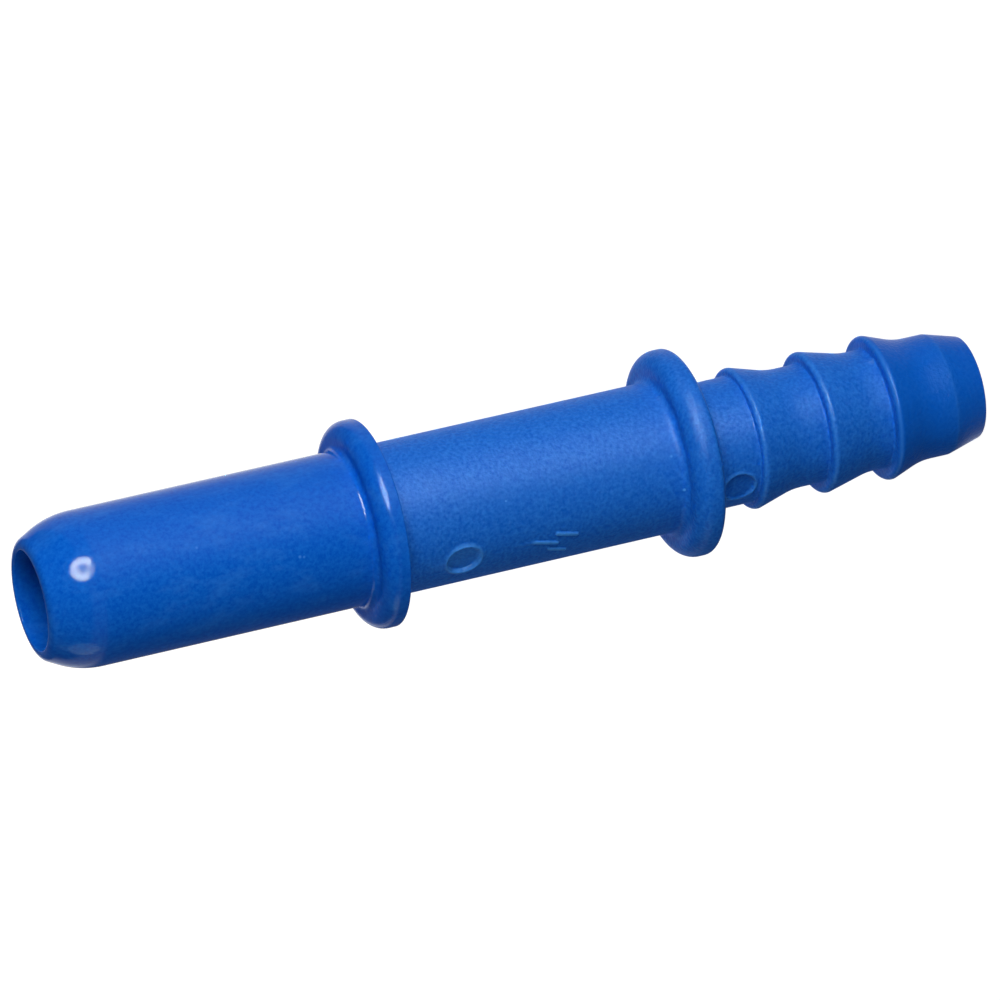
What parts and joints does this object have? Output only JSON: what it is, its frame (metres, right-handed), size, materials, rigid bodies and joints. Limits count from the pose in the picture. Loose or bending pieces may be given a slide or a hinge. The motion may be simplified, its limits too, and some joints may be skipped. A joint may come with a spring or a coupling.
{
  "type": "male quick connector hose stem",
  "caption": "Moulded plastic hose stem with a smooth coned spigot, a latch collar, a plain shank, a hose collar and a barbed tail, with a stepped bore right through.",
  "frame": {"origin": "centre of the barbed tip's end face, which the stem stands on", "axes": "+Z along the bore axis, from the barbed tip to the coned nose; the mould opens along Y and the ejector marks face -Y"},
  "size_m": [0.0128, 0.0128, 0.0607],
  "materials": {
    "blue_moulding": "satin moulded blue nylon, polished on the spigot and fine matt on the shank and barbs"
  },
  "bodies": {
    "root": {"connector_body": "blue_moulding"}
  },
  "joints": []
}
